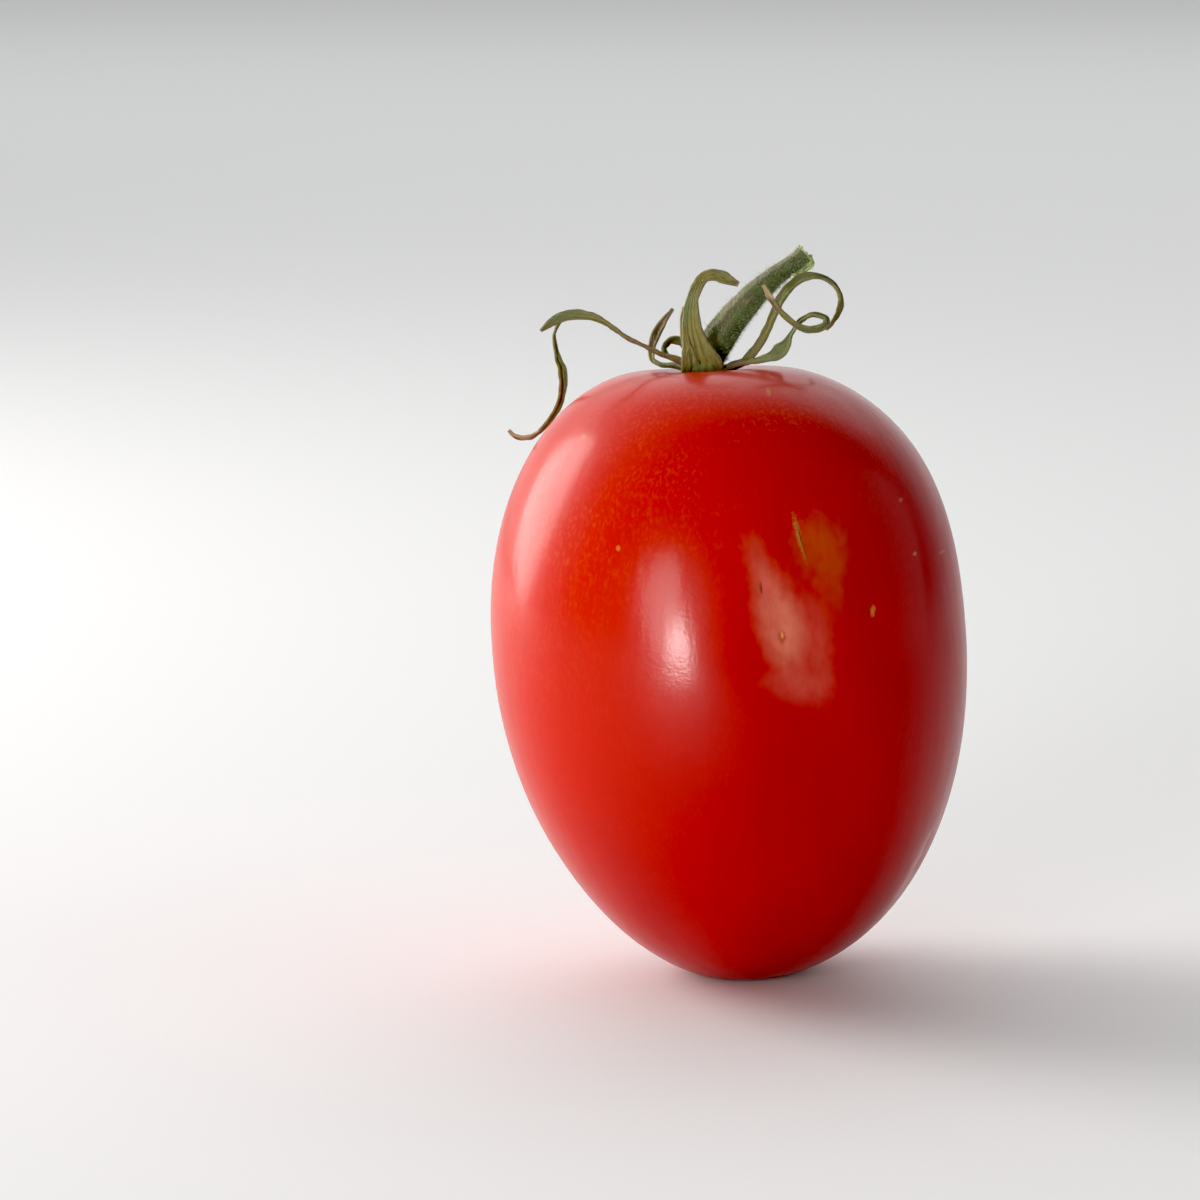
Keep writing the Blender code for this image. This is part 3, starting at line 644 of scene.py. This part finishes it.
stalk = {
    "stations": [
        (0.1, 0.2, -0.1, 1.6), (0.5, 0.3, 1.2, 1.75), (1.4, 0.8, 2.8, 1.72), (2.7, 1.4, 4.7, 1.58),
        (4.2, 2.0, 6.5, 1.42), (5.8, 2.5, 8.2, 1.24), (7.5, 2.9, 9.7, 1.05), (9.1, 3.2, 10.9, 0.92),
        (10.2, 3.4, 11.7, 0.95), (10.8, 3.5, 12.2, 1.1),
    ],
    "sides": 36, "step": 0.2, "ridges": 7, "ridgeDepth": 0.05, "bumps": 0.07, "bumpSize": 0.9,
    "endRagged": 0.45, "endRaggedSize": 0.6, "seed": 11.0,
}
tornSkin = {
    "stations": [
        (8.6, 2.9, 10.2, 0.8, 30), (9.7, 3.0, 10.7, 1.5, 20), (10.8, 3.0, 11.3, 1.6, 15),
        (11.5, 3.0, 11.5, 0.9, 15),
    ],
    "columns": 14, "step": 0.15, "roll": 70, "rib": 0.06, "ribs": 5, "thickness": 0.28,
    "ragged": 0.3, "raggedSize": 0.45, "seed": 13.0,
}
stalkFinish = {
    "green": (0.145, 0.205, 0.070), "dark": (0.075, 0.110, 0.040), "fibreAndHighlightGrey": (0.30, 0.26, 0.160),
    "torn": (0.54, 0.68, 0.28), "brown": (0.34, 0.22, 0.10),
    "fibres": 12.0, "fibreHeight": 0.06, "blotchScale": 0.8, "granuleScale": 3.4, "granuleDepth": 0.07,
    "roughness": 0.6, "roughnessSpread": 0.25,
}


def makeStalkMaterial():
    s = stalkFinish
    material, tree, shader = newMaterial("stalkRind", s["green"], {
        "Specular IOR Level": 0.3, "Sheen Weight": 0.1,
    })
    place = millimetres(tree)
    across, along, torn = (leafAttribute(tree, name) for name in ("across", "along", "torn"))
    lines = useGroup(tree, fibreGroup, Across=across, Along=along, Count=s["fibres"], Stretch=0.7)
    blotch = grainValue(tree, place, s["blotchScale"], 4.0)
    granules = fade(tree, grainValue(tree, place, s["granuleScale"], 2.0), 0.42, 0.62)
    colour = blendColour(tree, fade(tree, blotch, 0.35, 0.65), s["green"], s["dark"])
    colour = blendColour(tree, calc(tree, "MULTIPLY", lines, 0.25), colour, s["fibreAndHighlightGrey"])
    colour = blendColour(tree, calc(tree, "MULTIPLY", granules, 0.4), colour, s["dark"])
    # Painted highlight: what faces up is painted a paler grey, where the light from above falls
    facing = addNode(tree, "NewGeometry").outputs["Normal"]
    facing = addNode(tree, "SeparateXYZ", {"Vector": facing}).outputs["Z"]
    paintedTopHighlight = calc(tree, "MULTIPLY_ADD", blotch, 0.8, calc(tree, "SUBTRACT", facing, 0.4))
    colour = blendColour(tree, fade(tree, paintedTopHighlight, 0.25, 0.8, 0.0, 0.7), colour, s["fibreAndHighlightGrey"])
    flesh = blendColour(tree, fade(tree, grainValue(tree, place, 1.6, 3.0), 0.5, 0.75), s["torn"], s["brown"])
    colour = blendColour(tree, torn, colour, flesh)
    plug(tree, shader.inputs["Base Color"], colour)
    rough = calc(tree, "MULTIPLY_ADD", blotch, s["roughnessSpread"], s["roughness"])
    plug(tree, shader.inputs["Roughness"], rough)
    height = calc(tree, "MULTIPLY", lines, s["fibreHeight"])
    height = calc(tree, "MULTIPLY_ADD", granules, -s["granuleDepth"], height)
    bump = addNode(tree, "Bump", {"Height": height, "Distance": mm, "Strength": 1.0})
    plug(tree, shader.inputs["Normal"], bump.outputs[0])
    return material


stalkRind = makeStalkMaterial()


def stemAxes(route, row):  # along a stem, to its side, and to its front
    along = routeDirection(route, row)
    side = along.cross(Vector((0, 1, 0))).normalized()
    return along, side, side.cross(along)


def makeStalk():
    s = stalk
    route = smoothRoute(s["stations"], s["step"])
    last = len(route) - 1
    bm, layers = layeredMesh("across", "along", "torn")
    bmesh.ops.create_cone(bm, cap_ends=True, cap_tris=True, segments=s["sides"],
                          radius1=1, radius2=1, depth=2)
    upEdges = [edge for edge in bm.edges if abs(edge.verts[0].co.z - edge.verts[1].co.z) > 1]
    bmesh.ops.subdivide_edges(bm, edges=upEdges, cuts=last - 1, use_grid_fill=False)
    for vertex in bm.verts:
        row = round((vertex.co.z + 1) / 2 * last)
        rim = Vector((vertex.co.x, vertex.co.y, 0))
        around = complex(rim.x, rim.y) ** s["ridges"]
        along, side, front = stemAxes(route, row)
        outward = side * rim.x + front * rim.y
        place = Vector(route[row][:3]) + outward * route[row][3] * (1 + s["ridgeDepth"] * around.real)
        place += outward * s["bumps"] * grainAt(place, s["bumpSize"], s["seed"])
        if row == last:
            place += along * s["endRagged"] * grainAt(place, s["endRaggedSize"], s["seed"] + 1)
        vertex.co = crown @ place
        vertex[layers["across"]] = rim.x
        vertex[layers["along"]] = row * s["step"]
        vertex[layers["torn"]] = 1.0 if row > last - 2 else 0.0
    bmesh.ops.recalc_face_normals(bm, faces=bm.faces)
    return newPiece(bm, "stalkStem", stalkRind, "stalk")


stalkStem = makeStalk()


def makeTornSkin():
    s = tornSkin
    route = smoothRoute(s["stations"], s["step"])
    last = len(route) - 1
    bm, layers = layeredMesh("across", "along", "torn")
    verts = bmesh.ops.create_grid(bm, x_segments=s["columns"], y_segments=last, size=1.0)["verts"]
    for vertex in verts:
        row, side = round((vertex.co.y + 1) / 2 * last), vertex.co.x
        along, across, hollow = bladeAxes(route, row)
        half = radians(s["roll"]) / 2
        reach = route[row][3] / (2 * sin(half))
        tatter = s["ragged"] * grainAt((side * 2, row * s["step"], 0), s["raggedSize"], s["seed"])
        rise = reach * (cos(half * side) - cos(half)) + s["rib"] * cos(pi * s["ribs"] * side)
        centre = Vector(route[row][:3]) + along * tatter * (row / last) ** 3
        vertex.co = crown @ (centre + across * reach * sin(half * side) * (1 + tatter) + hollow * rise)
        vertex[layers["across"]] = side
        vertex[layers["along"]] = row * s["step"]
        vertex[layers["torn"]] = 0.95
    thicken(newPiece(bm, "stalkTornSkin", stalkRind, "stalk"), s["thickness"])


makeTornSkin()
print("stalk:", len(stalkStem.data.polygons), "faces")

hairs = {
    "count": 2600, "length": (0.22, 0.50), "radius": 0.030, "wisps": 24, "wispLength": (0.8, 1.4),
    "bareRows": (8, 3), "sunk": 0.06, "leafCount": 220, "leafLength": (0.14, 0.32),
    "colour": (0.72, 0.72, 0.58), "shade": (0.40, 0.42, 0.27), "seed": 21,
}


def makeHairMaterial():
    material, tree, shader = newMaterial("paleHair", hairs["colour"], {"Specular IOR Level": 0.4})
    grain = grainValue(tree, millimetres(tree), 1.2, 2.0)
    plug(tree, shader.inputs["Base Color"], blendColour(tree, grain, hairs["colour"], hairs["shade"]))
    plug(tree, shader.inputs["Roughness"], calc(tree, "MULTIPLY_ADD", grain, 0.2, 0.5))
    return material


def addHair(bm, root, lean, length):
    place = Matrix.Translation(root + lean * length / 2) @ lean.to_track_quat("Z", "Y").to_matrix().to_4x4()
    bmesh.ops.create_cone(bm, cap_ends=True, segments=3, radius1=hairs["radius"], radius2=0.002,
                          depth=length, matrix=place)


def makeLeafHairs(leaves):
    draw = random.Random(hairs["seed"] + 1)
    bm = bmesh.new()
    for leaf in leaves:
        points = leaf.data.vertices
        for _ in range(hairs["leafCount"]):
            point = points[draw.randrange(len(points))]
            lean = point.normal * draw.choice((-1, 1)) + Vector([draw.gauss(0, 0.5) for _ in range(3)])
            addHair(bm, point.co / mm, lean.normalized(), draw.uniform(*hairs["leafLength"]))
    return newPiece(bm, "sepalHairs", paleHair, "calyx")


def makeStalkHairs():
    draw = random.Random(hairs["seed"])
    route = smoothRoute(stalk["stations"], stalk["step"])
    firstRow, lastRow = hairs["bareRows"][0], len(route) - hairs["bareRows"][1]
    bm = bmesh.new()
    for number in range(hairs["count"] + hairs["wisps"]):
        row = draw.randint(firstRow, lastRow)
        along, side, front = stemAxes(route, row)
        turn = draw.uniform(0, 2 * pi)
        outward = side * cos(turn) + front * sin(turn)
        wisp = number >= hairs["count"]
        length = draw.uniform(*hairs["wispLength" if wisp else "length"])
        lean = outward + along * draw.gauss(0.1, 0.35) + side.cross(outward) * draw.gauss(0, 0.2)
        root = Vector(route[row][:3]) + outward * (route[row][3] - hairs["sunk"])
        addHair(bm, root, lean.normalized(), length)
    bmesh.ops.transform(bm, matrix=crown, verts=bm.verts)
    return newPiece(bm, "stalkHairs", paleHair, "stalk")


paleHair = makeHairMaterial()
stalkHairs, sepalHairs = makeStalkHairs(), makeLeafHairs(sepalPieces)
print("hairs:", len(stalkHairs.data.polygons) + len(sepalHairs.data.polygons), "faces")


# Floor, light and camera

stageValues = {
    "floorSize": 8.0, "floorColour": (0.88, 0.875, 0.87), "worldColour": (0.98, 0.99, 1.0),
    "skyTowards": (-0.34, 0.91, 0.24), "skyFade": (-0.1, 0.95), "skyDark": 0.12, "skyBright": 1.12,
    "blackLevel": 0.028,
}
# Each light's direction, distance and aim, its oval's two widths in mm, and its power in W
lights = {
    "windowLight": {"from": (-0.88, 0.40, 0.35), "away": 620, "aim": (0, 0, 36), "size": (340, 520),
                    "power": 3.3, "colour": (1.0, 0.98, 0.96)},
    "frontLight": {"from": (-0.50, -0.84, 0.17), "away": 700, "aim": (-7, -22, 37), "size": (230, 330),
                   "power": 1.6, "colour": (1.0, 0.985, 0.97)},
    "lowLight": {"from": (-0.40, -0.91, -0.12), "away": 700, "aim": (-7, -22, 37), "size": (150, 310),
                 "power": 6.0, "colour": (1.0, 0.985, 0.97)},
    "backLight": {"from": (0, 0, 1), "away": 1100, "aim": (0, 1300, 0), "size": (2600, 1500),
                  "power": 5.6, "colour": (0.98, 0.99, 1.0)},
    "rightFill": {"from": (0.95, -0.12, 0.28), "away": 900, "aim": (0, 0, 36), "size": (900, 1000),
                  "power": 1.5, "colour": (1.0, 0.99, 0.98)},
}
cameraValues = {"place": (-15.43, -459.27, 120.77), "tilt": radians(80), "angle": radians(15.34)}


def makeFloor():
    material, tree, shader = newMaterial("paleFloor", stageValues["floorColour"], {"Specular IOR Level": 0.2})
    plug(tree, shader.inputs["Roughness"], 0.8)
    bm = bmesh.new()
    bmesh.ops.create_grid(bm, x_segments=1, y_segments=1, size=stageValues["floorSize"] / 2)
    mesh = bpy.data.meshes.new("floor")
    bm.to_mesh(mesh)
    bm.free()
    mesh.materials.append(material)
    floor = bpy.data.objects.new("floor", mesh)
    bpy.context.scene.collection.objects.link(floor)


def makeLight(name, values):
    light = bpy.data.lights.new(name, "AREA")
    light.shape = "ELLIPSE"
    light.size, light.size_y = (side * mm for side in values["size"])
    light.energy, light.color = values["power"], values["colour"]
    lamp = bpy.data.objects.new(name, light)
    direction = Vector(values["from"]).normalized()
    lamp.location = (Vector(values["aim"]) + direction * values["away"]) * mm
    lamp.rotation_mode = "QUATERNION"
    lamp.rotation_quaternion = direction.to_track_quat("Z", "Y")
    bpy.context.scene.collection.objects.link(lamp)


def makeCamera():
    camera = bpy.data.cameras.new("camera")
    camera.angle = cameraValues["angle"]
    camera.clip_end = 20
    eye = bpy.data.objects.new("camera", camera)
    eye.location = Vector(cameraValues["place"]) * mm
    eye.rotation_euler = (cameraValues["tilt"], 0, 0)
    bpy.context.scene.collection.objects.link(eye)
    bpy.context.scene.camera = eye


makeFloor()
for lightName, lightValues in lights.items():
    makeLight(lightName, lightValues)
makeCamera()
world = bpy.data.worlds.new("studio")
world.use_nodes = True
sky = world.node_tree.nodes["Background"].inputs
heading = addNode(world.node_tree, "VectorMath", operation="DOT_PRODUCT")
plug(world.node_tree, heading.inputs[0], addNode(world.node_tree, "TexCoord").outputs["Generated"])
plug(world.node_tree, heading.inputs[1], stageValues["skyTowards"])
plug(world.node_tree, sky["Color"], stageValues["worldColour"])
strength = fade(world.node_tree, heading.outputs["Value"], *stageValues["skyFade"],
                stageValues["skyDark"], stageValues["skyBright"])
plug(world.node_tree, sky["Strength"], strength)
bpy.context.scene.world = world
toning = bpy.context.scene.view_settings
toning.view_transform = "Standard"
toning.use_curve_mapping = True
toning.curve_mapping.black_level = (stageValues["blackLevel"],) * 3
toning.curve_mapping.update()
print("stage, lights and camera placed")

bpy.context.view_layer.update()
